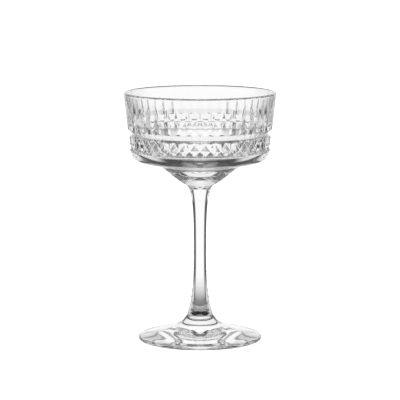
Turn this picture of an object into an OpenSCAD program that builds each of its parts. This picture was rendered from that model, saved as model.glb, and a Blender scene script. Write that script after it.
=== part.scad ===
// Coupe glass: a pressed bowl with a cut pattern, a drawn stem and a spread foot.
// Millimetres. The foot rests on z = 0, the axis of the glass is +Z, and its front faces -Y.

/* [Foot] */
// Diameter of the foot at its edge
foot_d = 77.6; // [60:0.2:90]
// Height of the foot's edge
foot_edge_h = 2.6; // [2:0.1:3.4]
// Height of the foot, up to its join with the stem
foot_h = 15; // [12:0.5:20]
// Width of the flat ring that the foot rests on
rest_w = 4; // [2:0.5:8]
// Height of the hollow under the foot, at its middle
hollow_h = 2.2; // [1:0.1:3]

/* [Stem] */
// Height of the stem, between its two joins
stem_h = 81.5; // [50:0.5:110]
// Diameter of the stem at its thinnest place
waist_d = 7.9; // [6:0.1:10]
// Height of the thinnest place above the foot's join
waist_h = 42; // [30:0.5:48]
// Diameter where the stem meets the foot
foot_join_d = 16.8; // [13:0.2:19]
// Diameter where the stem meets the bowl
bowl_join_d = 15; // [12:0.2:18]
// Width and height of the small flare above the bowl's join
join_flare = 1.2; // [0.6:0.1:2]

/* [Bowl] */
// Diameter over the rim
rim_d = 95; // [88:0.5:110]
// Thickness of the rim
rim_w = 2.1; // [1.6:0.1:2.6]
// How far the rim's bead stands proud of the wall
bead_out = 0.35; // [0.1:0.05:0.6]
// Height of the plain and fluted wall, with the rim
wall_h = 22.9; // [20:0.1:40]
// How far the wall leans in from its top to its foot
wall_lean = 2.1; // [0:0.1:4]
// Height of the smooth channel between the wall and the diamond band
channel_h = 5; // [4:0.1:8]
// Depth of the smooth channel, measured from the wall's foot
channel_depth = 3.05; // [2:0.05:3.4]
// Height of the diamond band
band_h = 8.4; // [6:0.1:12]
// How far the diamond band stands back from the wall's foot
band_set = 0.85; // [0.4:0.05:1.6]
// How far the diamond band leans in from its top to its foot
band_lean = 0.6; // [0:0.1:1.2]
// How far the diamond band stands proud of the shoulder
band_step = 0.2; // [0.1:0.05:0.4]
// Height of the rounded shoulder under the diamond band
shoulder_h = 9.9; // [9:0.1:14]
// Height of the cone between the shoulder and the stem
cone_h = 13.3; // [12.5:0.1:18]
// Diameter of the cone at its top
cone_d = 50.8; // [46:0.2:56]

/* [Inside of the bowl] */
// Thickness of the wall at the foot of the inside's straight part
wall_w = 2.8; // [2.4:0.1:3.4]
// Height of the straight part of the inside, with the rim
inner_wall_h = 18; // [15:0.5:20]
// Thickness of the glass behind the foot of the diamond band
band_w = 3.9; // [3.6:0.1:4.6]
// Height of the glass between the cone's top and the inside
shoulder_w = 4.6; // [4:0.1:5.2]
// Height of the glass between the stem's join and the floor of the inside
floor_w = 8.5; // [8:0.1:9.5]
// Diameter of the flat floor of the inside
floor_d = 14; // [8:0.5:16]

/* [Pattern] */
// Number of flutes and of diamonds around the bowl
pattern_n = 42; // [24:1:48]
// Height of the flutes
flute_h = 16.2; // [10:0.1:18]
// Depth of the flutes
flute_depth = 1; // [0.4:0.05:1.2]
// Width of the flutes at the wall's surface
flute_w = 4.5; // [2:0.1:5]
// Depth of the crossed cuts in the diamond band
cross_depth = 1; // [0.4:0.05:1.2]
// Width of the flat bottom of the crossed cuts
cross_flat = 0.5; // [0.2:0.05:1]
// Height of the plain edge under the crossed cuts
cross_edge = 0.3; // [0.2:0.05:0.6]

/* [Hidden] */

// Straight runs that stand in for each curved stretch of an outline
curve_steps = 16;
corner_steps = 6;
arc_step = 18;
$fn = 144;
// Overrun of a cut past the surface that it cuts
over = 1;

// Heights of the joins and bands above the table
stem_z = foot_h;
bowl_z = stem_z + stem_h;
cone_z = bowl_z + cone_h;
band_z = cone_z + shoulder_h;
channel_z = band_z + band_h;
wall_z = channel_z + channel_h;
rim_z = wall_z + wall_h;

// Radii of the wall and of the band
rim_r = rim_d / 2;
bead_r = rim_w / 2;
wall_top_r = rim_r - bead_out;
wall_top_z = rim_z - 2 * rim_w;
wall_foot_r = wall_top_r - wall_lean;
band_r = wall_foot_r - band_set;
band_foot_r = band_r - band_lean;
channel_r = wall_foot_r - channel_depth;
channel_round = 0.3;

// The point that lies at the given shares of the way from a to b
function between(a, b, share) = [a.x + (b.x - a.x) * share.x, a.y + (b.y - a.y) * share.y];

// The radius of the wall's outer face at a height
function wall_r(z) = wall_foot_r + (wall_top_r - wall_foot_r) * (z - wall_z) / (wall_top_z - wall_z);

// A cubic curve that leaves a towards b and reaches d from c
function curve(a, b, c, d, n = curve_steps) =
    [for (i = [0 : n]) let (t = i / n)
        a * pow(1 - t, 3) + 3 * b * t * pow(1 - t, 2) + 3 * c * t * t * (1 - t) + d * pow(t, 3)];

// A rounded corner at b, between the lines to a and to c, that starts at a distance back from b
function corner(a, b, c, back) =
    let (p = b + (a - b) * back / norm(a - b), q = b + (c - b) * back / norm(c - b))
    [for (i = [0 : corner_steps]) let (t = i / corner_steps)
        p * pow(1 - t, 2) + 2 * b * t * (1 - t) + q * t * t];

// An arc about c
function arc(c, r, from, to) = [for (a = [from : arc_step : to]) c + r * [cos(a), sin(a)]];

// The foot's outline, from the hollow's middle out to the edge and up to the join
foot_r = foot_d / 2;
edge_r = foot_edge_h / 2;
rest_r = foot_r - edge_r;
hollow_r = rest_r - rest_w;
foot_join_r = foot_join_d / 2;
foot_rise = foot_h - foot_edge_h;
foot_flare_share = 0.13;
foot_dip_share = 0.37;
foot_reach_share = 0.25;
foot_brow_share = 0.48;
foot_outline = concat(
    curve([0, hollow_h], [hollow_r / 2, hollow_h], [hollow_r * 3 / 4, 0], [hollow_r, 0]),
    arc([rest_r, edge_r], edge_r, -90, 72),
    curve([rest_r, foot_edge_h],
        [foot_join_r + foot_r * foot_reach_share, foot_edge_h + foot_rise * foot_brow_share],
        [foot_join_r + foot_r * foot_flare_share, foot_edge_h + foot_rise * foot_dip_share],
        [foot_join_r, foot_h]),
    [[0, foot_h]]);

// The stem's outline, from the foot up to the bowl
waist_r = waist_d / 2;
waist_z = stem_z + waist_h;
bowl_join_r = bowl_join_d / 2;
stem_low_share = 0.33;
stem_flare_share = 0.31;
stem_high_share = 0.42;
stem_neck_share = 0.83;
stem_outline = concat(
    [[0, stem_z]],
    curve([foot_join_r, stem_z], [waist_r, stem_z + waist_h * stem_flare_share],
        [waist_r, waist_z - waist_h * stem_low_share], [waist_r, waist_z]),
    curve([waist_r, waist_z], [waist_r, waist_z + (bowl_z - waist_z) * stem_high_share],
        [waist_r, waist_z + (bowl_z - waist_z) * stem_neck_share], [bowl_join_r, bowl_z]),
    [[0, bowl_z]]);

// The bowl's outside, from the stem's join up to the rim
cone_r = cone_d / 2;
cone_foot = [bowl_join_r + join_flare, bowl_z + join_flare];
cone_top = [cone_r, cone_z];
cone_low_share = [0.4, 0.3];
cone_high_share = [0.6, 0.6];
shoulder_start_share = [0.09, 0.08];
shoulder_low_share = [0.52, 0.29];
shoulder_high_share = [1, 0.24];
shoulder_top = [band_foot_r - band_step, band_z - 3 * band_step];
channel_foot_share = 0.3;
channel_head_share = 0.42;
channel_low = [channel_r, channel_z + channel_h * channel_foot_share];
channel_top = [channel_r, channel_z + channel_h * channel_head_share];
wall_under_share = [0.25, 0.16];
wall_under = [wall_foot_r - channel_depth * wall_under_share.x, wall_z - channel_h * wall_under_share.y];
wall_foot = [wall_foot_r, wall_z];
wall_top = [wall_top_r, wall_top_z];
band_foot = [band_foot_r, band_z];
band_top = [band_r, channel_z];
outside = concat(
    [[bowl_join_r, bowl_z]],
    curve(cone_foot, between(cone_foot, cone_top, cone_low_share),
        between(cone_foot, cone_top, cone_high_share), cone_top),
    curve(between(cone_top, shoulder_top, shoulder_start_share),
        between(cone_top, shoulder_top, shoulder_low_share),
        between(cone_top, shoulder_top, shoulder_high_share), shoulder_top),
    [band_foot],
    corner(band_foot, band_top, channel_low, channel_round / 2),
    corner(band_top, channel_low, channel_top, channel_round),
    corner(channel_low, channel_top, wall_under, channel_round),
    corner(wall_under, wall_foot, wall_top, channel_round),
    [wall_top]);

// The bowl's inside, from the rim down to the floor
inner_band_share = 0.4;
inner_ledge_share = 0.3;
inner_foot_z = rim_z - inner_wall_h;
inner_foot = [wall_r(inner_foot_z) - wall_w, inner_foot_z];
inner_band_r = band_foot_r - band_w;
inner_band = [inner_band_r, band_z + band_h * inner_band_share];
inner_ledge = [cone_r + (band_foot_r - cone_r) * inner_ledge_share, cone_z + shoulder_w];
floor_z = bowl_z + floor_w;
floor_r = floor_d / 2;
floor_edge = [floor_r, floor_z];
inner_neck_share = [0.58, 0.33];
inner_hip_share = [1, 0.53];
inner_turn_share = [0, 0.55];
inner_heel_share = [0.25, 0.86];
inner_slope_share = [0.25, 0.15];
inner_dish_share = [0.63, 0.97];
inside = concat(
    curve(inner_foot, between(inner_foot, inner_band, inner_neck_share),
        between(inner_foot, inner_band, inner_hip_share), inner_band),
    curve(inner_band, between(inner_band, inner_ledge, inner_turn_share),
        between(inner_band, inner_ledge, inner_heel_share), inner_ledge),
    curve(inner_ledge, between(inner_ledge, floor_edge, inner_slope_share),
        between(inner_ledge, floor_edge, inner_dish_share), floor_edge),
    [[0, floor_z]]);

// The rim is a full round between the two walls
rim_outline = arc([rim_r - bead_r, rim_z - bead_r], bead_r, -36, 180);
bowl_outline = concat([[0, bowl_z]], outside, rim_outline, inside);

// Pattern: sizes of one flute
flute_top_z = wall_z + flute_h;
flute_run = flute_h * 0.52;
flute_side = flute_w / 2 / flute_depth;
flute_foot_lean = 42;

// The valley of a flute, as radii and heights from its foot up to its tip
flute_low = [wall_r(wall_z) - flute_depth, wall_z];
flute_mid = [wall_r(flute_top_z - flute_run) - flute_depth, flute_top_z - flute_run];
flute_lift = [wall_r(flute_top_z - flute_run / 2) - flute_depth * 3 / 4, flute_top_z - flute_run / 2];
flute_tip = [wall_r(flute_top_z), flute_top_z];

// Pattern: sizes of one crossed cut
cross_pitch = 360 / pattern_n;
band_mid_z = band_z + band_h / 2;
band_mid_r = (band_r + band_foot_r) / 2;
cross_half_w = band_mid_r * tan(cross_pitch / 2);
cross_lean = atan(cross_half_w * 2 / band_h);
diamond_r = cross_half_w * cos(cross_lean);
cross_l = norm([cross_half_w * 2, band_h]) + 2 * over;
band_slope = atan(band_lean / band_h);

// A V-shaped channel whose valley runs through p and q, each a radius and a height, at the front
module v_channel(p, q) {
    tilt = atan2(q.x - p.x, q.y - p.y);
    reach = flute_h / 2;
    translate([0, -p.x, p.y])
        rotate([tilt, 0, 0])
            translate([0, 0, -2 * flute_h])
                linear_extrude(height = 4 * flute_h)
                    polygon([[0, 0], [-reach * flute_side, -reach], [reach * flute_side, -reach]]);
}

// What is cut away for one flute: its valley rises to the tip, and a slope closes it at its foot
module flute_cut() {
    intersection() {
        v_channel(flute_low, flute_mid);
        v_channel(flute_mid, flute_lift);
        v_channel(flute_lift, flute_tip);
        translate([-flute_w, -wall_foot_r, wall_z])
            rotate([flute_foot_lean, 0, 0])
                translate([0, -flute_h, 0])
                    cube([2 * flute_w, 2 * flute_h, 2 * flute_h]);
    }
}

// What is cut away for one line of a cross, leaning to one side
module cross_cut(side) {
    deep = cross_depth + over;
    half_top = cross_flat / 2 + (diamond_r - cross_flat / 2) * deep / cross_depth;
    intersection() {
        translate([0, -band_mid_r, band_mid_z])
            rotate([band_slope, 0, 0])
                rotate([0, side * cross_lean, 0])
                    translate([0, cross_depth, -cross_l / 2])
                        linear_extrude(height = cross_l)
                            polygon([[-cross_flat / 2, 0], [cross_flat / 2, 0],
                                [half_top, -deep], [-half_top, -deep]]);
        translate([-cross_l / 2, -band_mid_r - 2 * over, band_z + cross_edge])
            cube([cross_l, 3 * over + 2 * cross_depth, band_h + over]);
    }
}

// Foot: a spread disc with a rounded edge, a flat resting ring and a shallow hollow underneath
module foot() {
    color("gainsboro", 0.6)
        rotate_extrude()
            polygon(foot_outline);
}

// Stem: drawn to a waist, and flared to both of its joins
module stem() {
    color("whitesmoke", 0.6)
        rotate_extrude()
            polygon(stem_outline);
}

// Bowl: cone, shoulder, diamond band, channel, fluted wall and rim in one pressed piece
module bowl() {
    color("lightcyan", 0.6)
        difference() {
            rotate_extrude()
                polygon(bowl_outline);
            for (i = [0 : pattern_n - 1])
                rotate([0, 0, i * cross_pitch])
                    flute_cut();
            for (i = [0 : pattern_n - 1])
                rotate([0, 0, i * cross_pitch])
                    for (side = [-1, 1])
                        cross_cut(side);
        }
}

foot();
stem();
bowl();
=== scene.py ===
"""A clear coupe glass on a pale studio floor: a cut bowl, a drawn stem and a spread foot."""

import logging
import math
from collections.abc import Callable
from dataclasses import dataclass
from enum import Enum

import bpy
from mathutils import Matrix, Vector


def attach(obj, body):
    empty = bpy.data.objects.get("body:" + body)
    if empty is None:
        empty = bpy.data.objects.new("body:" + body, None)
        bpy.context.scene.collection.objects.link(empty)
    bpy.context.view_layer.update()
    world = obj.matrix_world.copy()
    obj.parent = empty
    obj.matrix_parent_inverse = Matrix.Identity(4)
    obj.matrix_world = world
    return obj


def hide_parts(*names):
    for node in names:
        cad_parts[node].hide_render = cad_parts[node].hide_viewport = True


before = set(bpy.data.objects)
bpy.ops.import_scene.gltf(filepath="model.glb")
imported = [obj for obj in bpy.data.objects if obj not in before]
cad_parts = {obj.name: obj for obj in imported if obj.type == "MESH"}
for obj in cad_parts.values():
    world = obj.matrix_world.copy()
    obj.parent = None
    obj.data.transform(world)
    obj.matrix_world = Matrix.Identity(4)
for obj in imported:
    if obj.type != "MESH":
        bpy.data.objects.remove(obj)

log = logging.getLogger("coupe")

MM = 0.001
# Corners nearer than this are one corner.
WELD = 0.002 * MM
# A corner nearer than this to a plane or the axis lies on it.
ON_PLANE = 0.004 * MM
# The same, where a plane cuts a mesh.
SNAP = 0.0002 * MM
# A radius and a height, or shares of the way across and up.
Point = tuple[float, float]
# The material of each slot of a piece.
Finishes = dict["Face", bpy.types.Material]


class Lean(Enum):
    """The side that a crossed cut leans to, going up."""

    LEFT = -1
    RIGHT = 1


class Face(Enum):
    """The material slots of a glass piece."""

    POLISHED = 0
    FUSED = 1


@dataclass(frozen=True)
class Run:
    """One stretch of a turned outline, straight or curved.

    Args:
        points: Two ends, or the four points of a cubic curve, each a radius and a height in millimetres.
        steps: Straight edges that stand for a curve.
    """

    points: tuple[Point, ...]
    steps: int = 12


def deselect() -> None:
    """Leave nothing selected, in object mode."""
    if bpy.context.object and bpy.context.object.mode != "OBJECT":
        bpy.ops.object.mode_set(mode="OBJECT")
    bpy.ops.object.select_all(action="DESELECT")


def activate(obj: bpy.types.Object) -> None:
    """Select one object alone and make it the active one.

    Args:
        obj: The object.
    """
    deselect()
    obj.select_set(True)
    bpy.context.view_layer.objects.active = obj


def edit(obj: bpy.types.Object, everything: bool = True, kind: str = "VERT") -> None:
    """Open an object in edit mode.

    Args:
        obj: The mesh object.
        everything: Whether all of its mesh is selected, or none.
        kind: The select mode.
    """
    activate(obj)
    bpy.ops.object.mode_set(mode="EDIT")
    bpy.ops.mesh.select_mode(type=kind)
    bpy.ops.mesh.select_all(action="SELECT" if everything else "DESELECT")


def pick(obj: bpy.types.Object, test: Callable[[Vector], bool], kind: str = "VERT") -> None:
    """Select the vertices or faces whose every corner passes a test, and stay in edit mode.

    Args:
        obj: The mesh object.
        test: A function of a corner's place.
        kind: The select mode, of vertices or faces.
    """
    edit(obj, False, kind)
    bpy.ops.object.mode_set(mode="OBJECT")
    mesh = obj.data
    passed = [test(vertex.co) for vertex in mesh.vertices]
    if kind == "VERT":
        for vertex, chosen in zip(mesh.vertices, passed):
            vertex.select = chosen
        for line in mesh.edges:
            line.select = all(passed[i] for i in line.vertices)
    for polygon in mesh.polygons:
        polygon.select = all(passed[i] for i in polygon.vertices)
    bpy.ops.object.mode_set(mode="EDIT")


def corner(before: Point, at: Point, after: Point, back: float, steps: int = 4) -> Run:
    """A rounded corner of an outline.

    Args:
        before: The point that the outline comes from.
        at: The sharp corner.
        after: The point that the outline goes to.
        back: How far from the corner the round starts and ends.
        steps: Straight edges that stand for the round.

    Returns:
        The round, as a curved run.
    """
    here = Vector(at)
    start = here + (Vector(before) - here).normalized() * back
    end = here + (Vector(after) - here).normalized() * back
    pull = 2 / 3
    return Run((tuple(start), tuple(start.lerp(here, pull)), tuple(end.lerp(here, pull)), tuple(end)), steps)


def arc(centre: Point, radius: float, start: float, end: float, steps: int) -> Run:
    """An arc of less than half a turn, as a cubic curve.

    Args:
        centre: The centre of the arc.
        radius: Its radius.
        start: The angle at its start, in degrees from the outward direction.
        end: The angle at its end.
        steps: Straight edges that stand for the arc.

    Returns:
        The arc, as a curved run.
    """
    a, b = math.radians(start), math.radians(end)
    reach = 4 / 3 * math.tan((b - a) / 4) * radius
    first = Vector(centre) + radius * Vector((math.cos(a), math.sin(a)))
    last = Vector(centre) + radius * Vector((math.cos(b), math.sin(b)))
    leave = first + reach * Vector((-math.sin(a), math.cos(a)))
    arrive = last - reach * Vector((-math.sin(b), math.cos(b)))
    return Run((tuple(first), tuple(leave), tuple(arrive), tuple(last)), steps)


def between(a: Point, b: Point, share: Point) -> Point:
    """The point at the given shares of the way from a to b."""
    return (a[0] + (b[0] - a[0]) * share[0], a[1] + (b[1] - a[1]) * share[1])


def bent(a: Point, b: Point, pulls: tuple[Point, Point], steps: int) -> Run:
    """A curve from a to b, with its two handles at the given shares of the way."""
    return Run((a, between(a, b, pulls[0]), between(a, b, pulls[1]), b), steps)


def draw_outline(name: str, runs: list[Run]) -> bpy.types.Object:
    """Draw a turned outline as a curve in the front half plane, and make it a chain of edges.

    Args:
        name: The object's name.
        runs: The outline's runs in order. A gap between two runs is closed by a straight edge.

    Returns:
        The chain, as a mesh object.
    """
    deselect()
    bpy.ops.curve.primitive_bezier_curve_add()
    obj = bpy.context.object
    obj.name = name
    splines = obj.data.splines
    splines.clear()
    last = None
    for run in runs:
        ends = [Vector((0, -r * MM, z * MM)) for r, z in run.points]
        if last is not None and (ends[0] - last).length > WELD:
            add_spline(splines, [last, ends[0]], 1)
        add_spline(splines, ends, run.steps)
        last = ends[-1]
    bpy.ops.object.convert(target="MESH")
    edit(obj)
    bpy.ops.mesh.remove_doubles(threshold=WELD)
    bpy.ops.object.mode_set(mode="OBJECT")
    return obj


def add_spline(splines: bpy.types.CurveSplines, ends: list[Vector], steps: int) -> None:
    """Add one stretch to a curve.

    Args:
        splines: The curve's splines.
        ends: Two ends, or the four points of a cubic curve, in metres.
        steps: Straight edges that stand for a curve.
    """
    spline = splines.new("BEZIER")
    spline.bezier_points.add(1)
    spline.resolution_u = steps if len(ends) > 2 else 1
    handles = ends if len(ends) > 2 else [ends[0], ends[0], ends[1], ends[1]]
    for point, co, near in zip(spline.bezier_points, (handles[0], handles[3]), (handles[1], handles[2])):
        point.handle_left_type = point.handle_right_type = "FREE"
        point.co = co
        point.handle_left = point.handle_right = near


def spin(obj: bpy.types.Object, angle: float, steps: int) -> None:
    """Turn a chain of edges about the glass's axis.

    Args:
        obj: The chain.
        angle: How far it is turned, anticlockwise seen from above.
        steps: How many faces it makes around.
    """
    edit(obj)
    bpy.ops.mesh.spin(steps=steps, angle=angle, center=(0, 0, 0), axis=(0, 0, -1))
    bpy.ops.mesh.select_all(action="SELECT")
    bpy.ops.mesh.remove_doubles(threshold=WELD)
    bpy.ops.mesh.normals_make_consistent(inside=False)
    bpy.ops.object.mode_set(mode="OBJECT")


def loft(name: str, sections: list[list[Vector]]) -> bpy.types.Object:
    """Extrude a flat section through a row of places, as a closed solid.

    Args:
        name: The object's name.
        sections: The corners of each section in order, in metres.

    Returns:
        The solid.
    """
    deselect()
    bpy.ops.mesh.primitive_circle_add(vertices=len(sections[0]), radius=MM, fill_type="NGON")
    obj = bpy.context.object
    obj.name = name
    place_selected(obj, sections[0])
    for section in sections[1:]:
        bpy.ops.object.mode_set(mode="EDIT")
        bpy.ops.mesh.extrude_region_move()
        bpy.ops.object.mode_set(mode="OBJECT")
        place_selected(obj, section)
    edit(obj)
    bpy.ops.mesh.normals_make_consistent(inside=False)
    bpy.ops.object.mode_set(mode="OBJECT")
    return obj


def place_selected(obj: bpy.types.Object, places: list[Vector]) -> None:
    """Put the corners of the one selected face at their places.

    Args:
        obj: The mesh object, in object mode.
        places: The corners' places in order.
    """
    obj.data.transform(obj.matrix_world)
    obj.matrix_world = Matrix.Identity(4)
    chosen = next(face for face in obj.data.polygons if face.select)
    order = sorted(chosen.vertices)
    for index, place in zip(order, places):
        obj.data.vertices[index].co = place


def slice_off(obj: bpy.types.Object, at: Vector, normal: Vector, close: bool = True) -> None:
    """Cut a solid with a plane, leaving the side that the normal points to.

    Args:
        obj: The solid.
        at: A point on the plane.
        normal: The plane's normal.
        close: Whether the cut is closed with a face.
    """
    edit(obj)
    bpy.ops.mesh.bisect(plane_co=at, plane_no=normal, use_fill=close, clear_inner=True, threshold=SNAP)
    bpy.ops.mesh.select_all(action="SELECT")
    bpy.ops.mesh.normals_make_consistent(inside=False)
    bpy.ops.object.mode_set(mode="OBJECT")


def cut(obj: bpy.types.Object, cutter: bpy.types.Object) -> None:
    """Take a cutter's solid out of a piece, and delete the cutter.

    Args:
        obj: The piece.
        cutter: The cutter.
    """
    activate(obj)
    modifier = obj.modifiers.new("cut", "BOOLEAN")
    modifier.operation = "DIFFERENCE"
    modifier.solver = "EXACT"
    modifier.object = cutter
    bpy.ops.object.modifier_apply(modifier=modifier.name)
    bpy.data.objects.remove(cutter)


def turned(place: Vector, angle: float) -> Vector:
    """A place, turned about the glass's axis, anticlockwise seen from above."""
    return Matrix.Rotation(angle, 3, "Z") @ place


@dataclass(frozen=True)
class ClearGlass:
    """Clear pressed glass, fire-polished."""

    name: str = "clear_glass"
    tint: tuple[float, float, float, float] = (0.998, 0.998, 0.998, 1.0)
    ior: float = 1.52
    ripple_scale: float = 240.0
    ripple_height: float = 0.004 * MM
    haze_scale: float = 90.0
    haze: float = 0.012

    def material(self) -> bpy.types.Material:
        """Make the material.

        Returns:
            The material.
        """
        material = bpy.data.materials.new(self.name)
        material.use_nodes = True
        tree = material.node_tree
        shader = tree.nodes["Principled BSDF"]
        shader.inputs["Base Color"].default_value = self.tint
        shader.inputs["Transmission Weight"].default_value = 1.0
        shader.inputs["IOR"].default_value = self.ior
        coordinates = tree.nodes.new("ShaderNodeTexCoord")
        surface = tree.nodes.new("ShaderNodeGroup")
        surface.node_tree = pressed_surface()
        surface.inputs["Ripple Scale"].default_value = self.ripple_scale
        surface.inputs["Haze Scale"].default_value = self.haze_scale
        surface.inputs["Haze"].default_value = self.haze
        bump = tree.nodes.new("ShaderNodeBump")
        bump.inputs["Strength"].default_value = 1.0
        bump.inputs["Distance"].default_value = self.ripple_height
        tree.links.new(coordinates.outputs["Object"], surface.inputs["Vector"])
        tree.links.new(surface.outputs["Roughness"], shader.inputs["Roughness"])
        tree.links.new(surface.outputs["Height"], bump.inputs["Height"])
        tree.links.new(bump.outputs["Normal"], shader.inputs["Normal"])
        return material


@dataclass(frozen=True)
class FusedJoin:
    """Where two gathers of glass were fused hot. There is no surface left, so light passes it unbent."""

    name: str = "fused_join"

    def material(self) -> bpy.types.Material:
        """Make the material.

        Returns:
            The material.
        """
        material = bpy.data.materials.new(self.name)
        material.use_nodes = True
        shader = material.node_tree.nodes["Principled BSDF"]
        shader.inputs["Alpha"].default_value = 0.0
        return material


def pressed_surface() -> bpy.types.NodeTree:
    """The faint ripple and haze of a pressed and fire-polished surface, as a node group.

    Returns:
        The group, made once.
    """
    name = "pressed_surface"
    ripple_detail, haze_detail = 1.0, 3.0
    if name in bpy.data.node_groups:
        return bpy.data.node_groups[name]
    group = bpy.data.node_groups.new(name, "ShaderNodeTree")
    sockets = group.interface
    sockets.new_socket("Vector", in_out="INPUT", socket_type="NodeSocketVector")
    for label in ("Ripple Scale", "Haze Scale", "Haze"):
        sockets.new_socket(label, in_out="INPUT", socket_type="NodeSocketFloat")
    for label in ("Height", "Roughness"):
        sockets.new_socket(label, in_out="OUTPUT", socket_type="NodeSocketFloat")
    source = group.nodes.new("NodeGroupInput")
    result = group.nodes.new("NodeGroupOutput")
    ripple = group.nodes.new("ShaderNodeTexNoise")
    ripple.inputs["Detail"].default_value = ripple_detail
    haze = group.nodes.new("ShaderNodeTexNoise")
    haze.inputs["Detail"].default_value = haze_detail
    amount = group.nodes.new("ShaderNodeMath")
    amount.operation = "MULTIPLY"
    group.links.new(source.outputs["Vector"], ripple.inputs["Vector"])
    group.links.new(source.outputs["Vector"], haze.inputs["Vector"])
    group.links.new(source.outputs["Ripple Scale"], ripple.inputs["Scale"])
    group.links.new(source.outputs["Haze Scale"], haze.inputs["Scale"])
    group.links.new(haze.outputs["Fac"], amount.inputs[0])
    group.links.new(source.outputs["Haze"], amount.inputs[1])
    group.links.new(ripple.outputs["Fac"], result.inputs["Height"])
    group.links.new(amount.outputs["Value"], result.inputs["Roughness"])
    return group


@dataclass
class GlassPiece:
    """What the bowl, the stem and the foot share: how a finished mesh is dressed and handed over.

    Args:
        node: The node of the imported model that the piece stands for.
        name: The piece's own name.
        crease: Faces that meet at more than this angle, in degrees, have a sharp edge between them.
    """

    node: str
    name: str
    crease: float = 14.0

    def dress(self, obj: bpy.types.Object, finishes: Finishes, joins: list[float]) -> None:
        """Give a mesh its finishes, its smooth and sharp edges, and its place in the frame.

        Args:
            obj: The finished mesh.
            finishes: The material of each slot.
            joins: The heights of the fused joins that close the piece, in millimetres.
        """
        obj.name = obj.data.name = self.name
        obj.data.materials.clear()
        for face in Face:
            obj.data.materials.append(finishes[face])
        for polygon in obj.data.polygons:
            heights = [obj.data.vertices[i].co.z for i in polygon.vertices]
            fused = any(max(abs(z - join * MM) for z in heights) < ON_PLANE for join in joins)
            polygon.material_index = (Face.FUSED if fused else Face.POLISHED).value
        activate(obj)
        bpy.ops.object.shade_smooth_by_angle(angle=math.radians(self.crease))
        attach(obj, "root")
        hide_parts(self.node)


def open_edges(obj: bpy.types.Object) -> int:
    """Count the edges that don't lie between two faces.

    Args:
        obj: The mesh object.

    Returns:
        How many there are.
    """
    uses: dict[tuple[int, int], int] = {}
    for polygon in obj.data.polygons:
        for key in polygon.edge_keys:
            uses[key] = uses.get(key, 0) + 1
    return sum(count != 2 for count in uses.values()) + len(obj.data.edges) - len(uses)


@dataclass
class Foot(GlassPiece):
    """The spread foot, with its resting ring and its shallow hollow.

    Lengths are in millimetres and angles in degrees. Pulls, brow and flare place the handles of curves, as
    shares of the lengths that the curves span.
    """

    node: str = "foot"
    name: str = "foot_glass"
    radius: float = 38.8
    edge_height: float = 2.6
    height: float = 15.0
    rest_width: float = 4.0
    hollow: float = 2.2
    join_radius: float = 8.4
    hollow_pulls: Point = (1 / 2, 3 / 4)
    brow: Point = (0.25, 0.48)
    flare: Point = (0.13, 0.37)
    edge_end: float = 72.0
    hollow_steps: int = 14
    edge_steps: tuple[int, int] = (6, 5)
    top_steps: int = 30
    around: int = 168

    def outline(self) -> list[Run]:
        """The foot's outline, from the hollow's middle out to the edge and up to the join.

        Returns:
            The runs in order.
        """
        edge = self.edge_height / 2
        rest = self.radius - edge
        inner = rest - self.rest_width
        rise = self.height - self.edge_height
        join = (self.join_radius, self.height)
        brow, flare = ((self.join_radius + self.radius * across, self.edge_height + rise * up)
                       for across, up in (self.brow, self.flare))
        first, second = self.hollow_pulls
        hollow = ((0, self.hollow), (inner * first, self.hollow), (inner * second, 0), (inner, 0))
        under, over = self.edge_steps
        return [Run(hollow, self.hollow_steps),
                arc((rest, edge), edge, -90, 0, under), arc((rest, edge), edge, 0, self.edge_end, over),
                Run(((rest, self.edge_height), brow, flare, join), self.top_steps),
                Run((join, (0, self.height)))]

    def build(self, finishes: Finishes) -> bpy.types.Object:
        """Turn the foot and dress it.

        Args:
            finishes: The material of each slot.

        Returns:
            The finished piece.
        """
        obj = draw_outline(self.name, self.outline())
        spin(obj, math.tau, self.around)
        self.dress(obj, finishes, [self.height])
        return obj


@dataclass
class Stem(GlassPiece):
    """The drawn stem, with a waist and two flared ends.

    Lengths are in millimetres and angles in degrees. Pulls place the handles of curves, as shares of the
    way up.
    """

    node: str = "stem"
    name: str = "stem_glass"
    crease: float = 25.0
    base: float = 15.0
    height: float = 81.5
    waist_radius: float = 3.95
    waist_height: float = 42.0
    foot_radius: float = 8.4
    bowl_radius: float = 7.5
    weld_edge: float = 0.25
    lower_pulls: tuple[float, float] = (0.31, 0.67)
    upper_pulls: tuple[float, float] = (0.42, 0.83)
    side_steps: int = 28
    weld_steps: int = 3
    around: int = 120

    def outline(self) -> list[Run]:
        """The stem's outline, from the foot's join up to the bowl's.

        Returns:
            The runs in order.
        """
        waist = self.base + self.waist_height
        top = self.base + self.height
        upper = self.height - self.waist_height
        leave, arrive = (self.base + self.waist_height * pull for pull in self.lower_pulls)
        lower = ((self.foot_radius, self.base), (self.waist_radius, leave),
                 (self.waist_radius, arrive), (self.waist_radius, waist))
        before = (self.bowl_radius - self.weld_edge, top - 2 * self.weld_edge)
        weld = corner(before, (self.bowl_radius, top), (0, top), self.weld_edge, self.weld_steps)
        leave, arrive = (waist + upper * pull for pull in self.upper_pulls)
        neck = ((self.waist_radius, waist), (self.waist_radius, leave),
                (self.waist_radius, arrive), weld.points[0])
        return [Run(((0, self.base), (self.foot_radius, self.base))), Run(lower, self.side_steps),
                Run(neck, self.side_steps), weld, Run((weld.points[-1], (0, top)))]

    def build(self, finishes: Finishes) -> bpy.types.Object:
        """Turn the stem and dress it.

        Args:
            finishes: The material of each slot.

        Returns:
            The finished piece.
        """
        obj = draw_outline(self.name, self.outline())
        spin(obj, math.tau, self.around)
        self.dress(obj, finishes, [self.base, self.base + self.height])
        return obj


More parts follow.
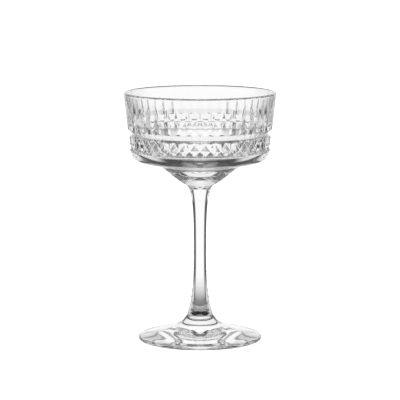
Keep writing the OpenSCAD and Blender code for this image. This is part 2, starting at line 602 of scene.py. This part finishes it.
@dataclass
class Bowl(GlassPiece):
    """The bowl, pressed in one piece: cone, shoulder, diamond band, channel, fluted wall and rim.

    Lengths are in millimetres and angles in degrees. Radii and heights name the outer face, unless they say
    otherwise.
    """

    node: str = "bowl"
    name: str = "bowl_glass"
    base: float = 96.5
    join_radius: float = 7.5
    join_flare: float = 1.2
    weld_edge: float = 0.25
    cone_height: float = 13.3
    cone_radius: float = 25.4
    shoulder_height: float = 9.9
    band_height: float = 8.4
    band_lean: float = 0.6
    band_set: float = 0.85
    band_step: float = 0.2
    band_step_slope: float = 3.0
    channel_height: float = 5.0
    channel_depth: float = 3.05
    channel_round: float = 0.3
    wall_height: float = 22.9
    wall_lean: float = 2.1
    rim_radius: float = 47.5
    rim_width: float = 2.1
    rim_start: float = -36.0
    bead: float = 0.35
    inner_wall_height: float = 18.0
    wall_width: float = 2.8
    band_width: float = 3.9
    shoulder_width: float = 4.6
    floor_width: float = 8.5
    floor_radius: float = 7.0
    pattern_count: int = 42
    flute_height: float = 16.2
    flute_depth: float = 1.0
    flute_width: float = 4.5
    flute_foot_lean: float = 42.0
    flute_run: float = 0.52
    run_steps: int = 8
    cross_depth: float = 1.0
    cross_flat: float = 0.5
    cross_edge: float = 0.3
    overrun: float = 1.0
    # Shares of the way between two points of the outline, across and up.
    cone_pulls: tuple[Point, Point] = ((0.4, 0.3), (0.6, 0.6))
    shoulder_shares: tuple[Point, ...] = ((0.09, 0.08), (0.52, 0.29), (1, 0.24), (1, 1))
    channel_low: float = 0.3
    channel_top: float = 0.42
    channel_under: Point = (0.25, 0.16)
    inner_band: float = 0.4
    inner_ledge: float = 0.3
    neck_pulls: tuple[Point, Point] = ((0.58, 0.33), (1, 0.53))
    heel_pulls: tuple[Point, Point] = ((0, 0.55), (0.25, 0.86))
    dish_pulls: tuple[Point, Point] = ((0.25, 0.15), (0.63, 0.97))
    # Edges that stand for the outline's curves, faces across half a pitch, and those to spare at each side.
    cone_steps: int = 18
    shoulder_steps: int = 22
    inner_steps: int = 16
    dish_steps: int = 18
    corner_steps: int = 3
    rim_steps: int = 6
    slice_steps: int = 5
    spare_steps: float = 1.5

    def __post_init__(self) -> None:
        """Work out the heights and radii of the bands."""
        self.cone_z = self.base + self.cone_height
        self.band_z = self.cone_z + self.shoulder_height
        self.channel_z = self.band_z + self.band_height
        self.wall_z = self.channel_z + self.channel_height
        self.rim_z = self.wall_z + self.wall_height
        self.wall_top = (self.rim_radius - self.bead, self.rim_z - 2 * self.rim_width)
        self.wall_foot = (self.wall_top[0] - self.wall_lean, self.wall_z)
        self.band_top = (self.wall_foot[0] - self.band_set, self.channel_z)
        self.band_foot = (self.band_top[0] - self.band_lean, self.band_z)
        self.channel_radius = self.wall_foot[0] - self.channel_depth
        self.pitch = math.tau / self.pattern_count

    def wall_radius(self, z: float) -> float:
        """The radius of the wall's outer face at a height."""
        (foot_r, foot_z), (top_r, top_z) = self.wall_foot, self.wall_top
        return foot_r + (top_r - foot_r) * (z - foot_z) / (top_z - foot_z)

    def outside(self) -> list[Run]:
        """The bowl's outside, from the stem's join up to the rim.

        Returns:
            The runs in order.
        """
        base = (self.join_radius, self.base)
        flare = (self.join_radius + self.join_flare, self.base + self.join_flare)
        weld = corner((0, self.base), base, flare, self.weld_edge, self.corner_steps)
        cone_top = (self.cone_radius, self.cone_z)
        step = self.band_step
        shoulder_top = (self.band_foot[0] - step, self.band_z - self.band_step_slope * step)
        shoulder = tuple(between(cone_top, shoulder_top, share) for share in self.shoulder_shares)
        low = (self.channel_radius, self.channel_z + self.channel_height * self.channel_low)
        top = (self.channel_radius, self.channel_z + self.channel_height * self.channel_top)
        across, up = self.channel_under
        under = (self.wall_foot[0] - self.channel_depth * across, self.wall_z - self.channel_height * up)
        back = self.channel_round
        return [Run(((0, self.base), weld.points[0])), weld,
                bent(flare, cone_top, self.cone_pulls, self.cone_steps), Run(shoulder, self.shoulder_steps),
                Run((shoulder_top, self.band_foot)),
                corner(self.band_foot, self.band_top, low, back / 2, self.corner_steps),
                corner(self.band_top, low, top, back),
                corner(low, top, under, back),
                corner(under, self.wall_foot, self.wall_top, back)]

    def rim(self) -> list[Run]:
        """The top of the wall and the full round of the rim, from the outside over to the inside.

        Returns:
            The runs in order.
        """
        bead = self.rim_width / 2
        centre = (self.rim_radius - bead, self.rim_z - bead)
        first = arc(centre, bead, self.rim_start, 0, self.corner_steps)
        return [Run((self.wall_top, first.points[0])), first,
                arc(centre, bead, 0, 90, self.rim_steps), arc(centre, bead, 90, 180, self.rim_steps)]

    def inside(self) -> list[Run]:
        """The bowl's inside, from the rim down to the floor.

        Returns:
            The runs in order.
        """
        foot_z = self.rim_z - self.inner_wall_height
        foot = (self.wall_radius(foot_z) - self.wall_width, foot_z)
        band = (self.band_foot[0] - self.band_width, self.band_z + self.band_height * self.inner_band)
        cone_top = (self.cone_radius, self.cone_z + self.shoulder_width)
        ledge = between(cone_top, self.band_foot, (self.inner_ledge, 0))
        floor = (self.floor_radius, self.base + self.floor_width)
        return [bent(foot, band, self.neck_pulls, self.inner_steps),
                bent(band, ledge, self.heel_pulls, self.inner_steps),
                bent(ledge, floor, self.dish_pulls, self.dish_steps), Run((floor, (0, floor[1])))]

    def blank(self) -> bpy.types.Object:
        """Turn a slice of the plain bowl that is a little wider than half a pitch.

        Returns:
            The closed slice.
        """
        obj = draw_outline(self.name, self.outside() + self.rim() + self.inside())
        half = self.pitch / 2
        step = half / self.slice_steps
        spare = self.spare_steps * step
        spin(obj, half + 2 * spare, self.slice_steps + round(2 * self.spare_steps))
        obj.data.transform(Matrix.Rotation(-spare, 4, "Z"))
        pick(obj, lambda co: math.hypot(co.x, co.y) < ON_PLANE)
        bpy.ops.mesh.edge_face_add()
        for angle in (-spare, half + spare):
            pick(obj, self.on_side(angle))
            bpy.ops.mesh.edge_face_add()
        bpy.ops.mesh.select_all(action="SELECT")
        bpy.ops.mesh.normals_make_consistent(inside=False)
        bpy.ops.object.mode_set(mode="OBJECT")
        return obj

    @staticmethod
    def on_side(angle: float) -> Callable[[Vector], bool]:
        """A test of whether a place lies in the plane that holds the axis, at an angle from the front."""
        normal = turned(Vector((1, 0, 0)), angle)
        return lambda co: abs(normal.dot(co)) < ON_PLANE

    def flute_cutter(self) -> bpy.types.Object:
        """The wheel's path for one flute: a V whose valley rises to the tip, with a sloping foot.

        Returns:
            The cutter.
        """
        tip_z = self.wall_z + self.flute_height
        run = self.flute_height * self.flute_run
        start_z = self.wall_z - self.overrun
        valley = [(self.wall_radius(start_z) - self.flute_depth, start_z)]
        for index in range(self.run_steps + 1):
            share = index / self.run_steps
            z = tip_z - run * (1 - share)
            valley.append((self.wall_radius(z) - self.flute_depth * (1 - share ** 2), z))
        outer = self.rim_radius + self.overrun
        (r1, z1), (r2, z2) = valley[-2:]
        # The last section stays a hair wide, because one of no width wouldn't be a face.
        r_end = outer - WELD / MM
        valley.append((r_end, z2 + (r_end - r2) * (z2 - z1) / (r2 - r1)))
        side = self.flute_width / 2 / self.flute_depth
        sections = []
        for r, z in valley:
            half = (outer - r) * side
            sections.append([Vector((x, -y, z)) * MM for x, y in ((0, r), (half, outer), (-half, outer))])
        cutter = loft("flute_cutter", sections)
        lean = math.radians(self.flute_foot_lean)
        foot = Vector((0, -self.wall_foot[0], self.wall_z)) * MM
        slice_off(cutter, foot, Vector((0, -math.sin(lean), math.cos(lean))))
        return cutter

    def cross_cutter(self, lean: Lean, step: int) -> bpy.types.Object:
        """The wheel's path for one line of a cross.

        Args:
            lean: The side that the line leans to.
            step: How many pitches the cross stands from the front.

        Returns:
            The cutter.
        """
        middle = between(self.band_foot, self.band_top, (0.5, 0.5))
        half_pitch = middle[0] * math.tan(self.pitch / 2)
        angle = math.atan(half_pitch * 2 / self.band_height)
        slope = math.atan(self.band_lean / self.band_height)
        reach = half_pitch * math.cos(angle)
        deep = self.cross_depth + self.overrun
        flat = self.cross_flat / 2
        wide = flat + (reach - flat) * deep / self.cross_depth
        long = math.hypot(half_pitch * 2, self.band_height) / 2 + self.overrun
        trapezoid = ((-flat, 0), (flat, 0), (wide, -deep), (-wide, -deep))
        turn = (Matrix.Rotation(step * self.pitch, 4, "Z") @ Matrix.Translation((0, -middle[0], middle[1]))
                @ Matrix.Rotation(slope, 4, "X") @ Matrix.Rotation(lean.value * angle, 4, "Y")
                @ Matrix.Translation((0, self.cross_depth, 0)))
        sections = [[(turn @ Vector((x, y, z))) * MM for x, y in trapezoid] for z in (-long, long)]
        cutter = loft("cross_cutter", sections)
        edge = Vector((0, 0, self.band_z + self.cross_edge)) * MM
        slice_off(cutter, edge, Vector((0, 0, 1)))
        return cutter

    def cut_slice(self, obj: bpy.types.Object) -> None:
        """Cut the pattern into the slice, and trim it from the middle of a flute to that of the next land.

        Args:
            obj: The closed slice.
        """
        cut(obj, self.flute_cutter())
        for step in (0, 1):
            for lean in Lean:
                cut(obj, self.cross_cutter(lean, step))
        side = Vector((1, 0, 0))
        slice_off(obj, Vector(), side, False)
        slice_off(obj, Vector(), -turned(side, self.pitch / 2), False)

    def repeat(self, obj: bpy.types.Object) -> None:
        """Mirror the half pitch into a whole one, and repeat it around the bowl.

        Args:
            obj: The open half pitch.
        """
        activate(obj)
        mirror = obj.modifiers.new("mirror", "MIRROR")
        mirror.merge_threshold = WELD
        bpy.ops.object.modifier_apply(modifier=mirror.name)
        edit(obj)
        bpy.ops.mesh.spin(steps=self.pattern_count - 1, dupli=True, angle=math.tau - self.pitch,
                          center=(0, 0, 0), axis=(0, 0, 1))
        bpy.ops.mesh.select_all(action="SELECT")
        bpy.ops.mesh.remove_doubles(threshold=WELD)
        bpy.ops.mesh.delete_loose()
        bpy.ops.mesh.select_all(action="SELECT")
        bpy.ops.mesh.normals_make_consistent(inside=False)
        bpy.ops.object.mode_set(mode="OBJECT")

    def build(self, finishes: Finishes) -> bpy.types.Object:
        """Turn, cut, repeat and dress the bowl.

        Args:
            finishes: The material of each slot.

        Returns:
            The finished piece.
        """
        obj = self.blank()
        self.cut_slice(obj)
        self.repeat(obj)
        self.dress(obj, finishes, [self.base])
        return obj


@dataclass(frozen=True)
class Panel:
    """A soft bright panel of the surround, as levels by direction.

    Args:
        around: Angles to either side of straight behind the glass, in degrees, and the level at each.
        upward: Angles above the horizon, and the level at each. The two levels are multiplied.
    """

    around: tuple[tuple[float, float], ...]
    upward: tuple[tuple[float, float], ...]


@dataclass
class Studio:
    """The pale floor, the bright surround, the soft lamp and the camera.

    Lengths are in metres, the camera's sensor is in millimetres, and angles are in degrees.
    """

    floor_half: float = 6.0
    floor_drop: float = 0.1 * MM
    camera_back: float = 1.4
    camera_height: float = 0.28853
    camera_down: float = 8.15
    focal_pixels: float = 2259.7
    picture_pixels: float = 400.0
    sensor: float = 36.0
    panels: tuple[Panel, ...] = (
        # Behind the glass, from a little under the horizon up.
        Panel(((0, 1.0), (26, 1.0), (33, 0.1), (42, 0.0)),
              ((-90, 0.05), (-50, 0.08), (-31, 0.1), (-24, 0.22), (-18, 0.72), (-13, 1.0), (90, 1.0))),
        # Low at both sides and in front.
        Panel(((33, 0.0), (41, 0.8), (54, 0.8), (62, 0.6), (180, 0.9)),
              ((-56, 0.0), (-46, 0.9), (-20, 0.95), (-14, 0.1), (4, 0.05), (10, 0.0))),
        # A strip above the horizon, brightest behind the glass on the left and on the right.
        Panel(((42, 0.0), (48, 1.0), (60, 1.0), (66, 0.5), (90, 0.5)),
              ((2, 0.0), (7, 1.0), (18, 1.0), (25, 0.0))),
        # Beside the glass and in front, mostly up to the horizon.
        Panel(((70, 0.0), (78, 0.2), (86, 0.9), (180, 0.9)),
              ((-60, 0.0), (-46, 0.8), (-38, 0.95), (4, 0.95), (12, 0.6), (20, 0.3), (26, 0.1), (90, 0.1))),
        # Steeply below, behind the glass, fainter.
        Panel(((0, 1.0), (14, 1.0), (22, 0.0)),
              ((-76, 0.0), (-67, 0.3), (-54, 0.3), (-47, 0.0))))
    floor_glow: float = 0.93
    floor_colour: tuple[float, float, float, float] = (0.9, 0.9, 0.9, 1.0)
    lamp_height: float = 1.6
    lamp_size: float = 1.2
    lamp_power: float = 8.0
    glass_bounces: int = 32
    other_bounces: int = 24

    def build(self) -> None:
        """Set up everything around the glass."""
        self.floor()
        self.surround()
        self.lamp()
        self.camera()
        self.light_paths()

    def floor(self) -> None:
        """A wide white floor that keeps the glass's shadow. Through it the glass sees the surround below."""
        deselect()
        bpy.ops.mesh.primitive_plane_add(size=2 * self.floor_half, location=(0, 0, 0))
        floor = bpy.context.object
        floor.name = "floor"
        floor.data.transform(Matrix.Translation((0, 0, -self.floor_drop)))
        material = bpy.data.materials.new("floor_white")
        material.use_nodes = True
        tree = material.node_tree
        tree.nodes.clear()
        path = tree.nodes.new("ShaderNodeLightPath")
        matt = tree.nodes.new("ShaderNodeBsdfDiffuse")
        matt.inputs["Color"].default_value = self.floor_colour
        glow = tree.nodes.new("ShaderNodeEmission")
        glow.inputs["Strength"].default_value = self.floor_glow
        both = tree.nodes.new("ShaderNodeAddShader")
        tree.links.new(matt.outputs[0], both.inputs[0])
        tree.links.new(glow.outputs[0], both.inputs[1])
        clear = tree.nodes.new("ShaderNodeBsdfTransparent")
        shown = tree.nodes.new("ShaderNodeMixShader")
        output = tree.nodes.new("ShaderNodeOutputMaterial")
        tree.links.new(path.outputs["Is Camera Ray"], shown.inputs["Fac"])
        tree.links.new(clear.outputs[0], shown.inputs[1])
        tree.links.new(both.outputs[0], shown.inputs[2])
        tree.links.new(shown.outputs[0], output.inputs["Surface"])
        floor.data.materials.append(material)

    def surround(self) -> None:
        """The surround: bright panels behind, beside and in front of the glass, with dark gaps between."""
        world = bpy.data.worlds.new("surround")
        bpy.context.scene.world = world
        world.use_nodes = True
        tree = world.node_tree
        tree.nodes.clear()
        coordinates = tree.nodes.new("ShaderNodeTexCoord")
        axes = tree.nodes.new("ShaderNodeSeparateXYZ")
        tree.links.new(coordinates.outputs["Generated"], axes.inputs[0])
        around = self.calculate(tree, "ARCTAN2", axes.outputs["X"], axes.outputs["Y"])
        aside = self.calculate(tree, "ABSOLUTE", around)
        elevation = self.calculate(tree, "ARCSINE", axes.outputs["Z"])
        path = tree.nodes.new("ShaderNodeLightPath")
        level = path.outputs["Is Camera Ray"]
        for panel in self.panels:
            shine = self.calculate(tree, "MULTIPLY", self.ramp(tree, aside, 0, 180, panel.around),
                                   self.ramp(tree, elevation, -90, 90, panel.upward))
            level = self.calculate(tree, "MAXIMUM", level, shine)
        background = tree.nodes.new("ShaderNodeBackground")
        output = tree.nodes.new("ShaderNodeOutputWorld")
        tree.links.new(level, background.inputs["Strength"])
        tree.links.new(background.outputs[0], output.inputs["Surface"])
        background.inputs["Color"].default_value = (1, 1, 1, 1)

    @staticmethod
    def calculate(tree: bpy.types.NodeTree, operation: str,
                  *inputs: bpy.types.NodeSocket) -> bpy.types.NodeSocket:
        """Add a Math node.

        Args:
            tree: The node tree.
            operation: What it does.
            inputs: The sockets that it reads.

        Returns:
            Its output.
        """
        node = tree.nodes.new("ShaderNodeMath")
        node.operation = operation
        for socket, source in zip(node.inputs, inputs):
            tree.links.new(source, socket)
        return node.outputs[0]

    @staticmethod
    def ramp(tree: bpy.types.NodeTree, source: bpy.types.NodeSocket, low: float, high: float,
             stops: tuple[tuple[float, float], ...]) -> bpy.types.NodeSocket:
        """Add a ramp over an angle.

        Args:
            tree: The node tree.
            source: The angle, in radians.
            low: The angle at the ramp's start, in degrees.
            high: The angle at its end.
            stops: Angles in degrees, and the level at each.

        Returns:
            The level.
        """
        scale = tree.nodes.new("ShaderNodeMapRange")
        scale.inputs["From Min"].default_value = math.radians(low)
        scale.inputs["From Max"].default_value = math.radians(high)
        tree.links.new(source, scale.inputs["Value"])
        node = tree.nodes.new("ShaderNodeValToRGB")
        elements = node.color_ramp.elements
        while len(elements) > 1:
            elements.remove(elements[-1])
        for index, (angle, level) in enumerate(stops):
            element = elements[0] if index == 0 else elements.new((angle - low) / (high - low))
            element.position = (angle - low) / (high - low)
            element.color = (level, level, level, 1)
        tree.links.new(scale.outputs[0], node.inputs["Fac"])
        return node.outputs["Color"]

    def lamp(self) -> None:
        """One wide soft lamp over the glass."""
        deselect()
        bpy.ops.object.light_add(type="AREA", location=(0, 0, self.lamp_height))
        lamp = bpy.context.object
        lamp.name = "overhead_lamp"
        lamp.data.shape = "DISK"
        lamp.data.size = self.lamp_size
        lamp.data.energy = self.lamp_power
        lamp.visible_transmission = False

    def camera(self) -> None:
        """The camera, at the photograph's height, distance and tilt."""
        deselect()
        bpy.ops.object.camera_add(location=(0, -self.camera_back, self.camera_height),
                                  rotation=(math.radians(90 - self.camera_down), 0, 0))
        camera = bpy.context.object
        camera.name = "camera"
        camera.data.sensor_width = self.sensor
        camera.data.lens = self.sensor * self.focal_pixels / self.picture_pixels
        bpy.context.scene.camera = camera

    def light_paths(self) -> None:
        """Show the levels as they are, and let light pass the many faces of the cut glass."""
        scene = bpy.context.scene
        scene.view_settings.view_transform = "Standard"
        scene.cycles.max_bounces = self.glass_bounces
        scene.cycles.glossy_bounces = self.other_bounces
        scene.cycles.transmission_bounces = self.glass_bounces
        scene.cycles.transparent_max_bounces = self.other_bounces


def main() -> None:
    """Build the glass piece by piece, then the studio around it."""
    logging.basicConfig(level=logging.INFO, format="%(name)s: %(message)s")
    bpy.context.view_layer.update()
    finishes = {Face.POLISHED: ClearGlass().material(), Face.FUSED: FusedJoin().material()}
    for piece in (Foot(), Stem(), Bowl()):
        obj = piece.build(finishes)
        log.info("%s: %d faces, %d open edges", obj.name, len(obj.data.polygons), open_edges(obj))
    Studio().build()


if __name__ == "__main__":
    main()
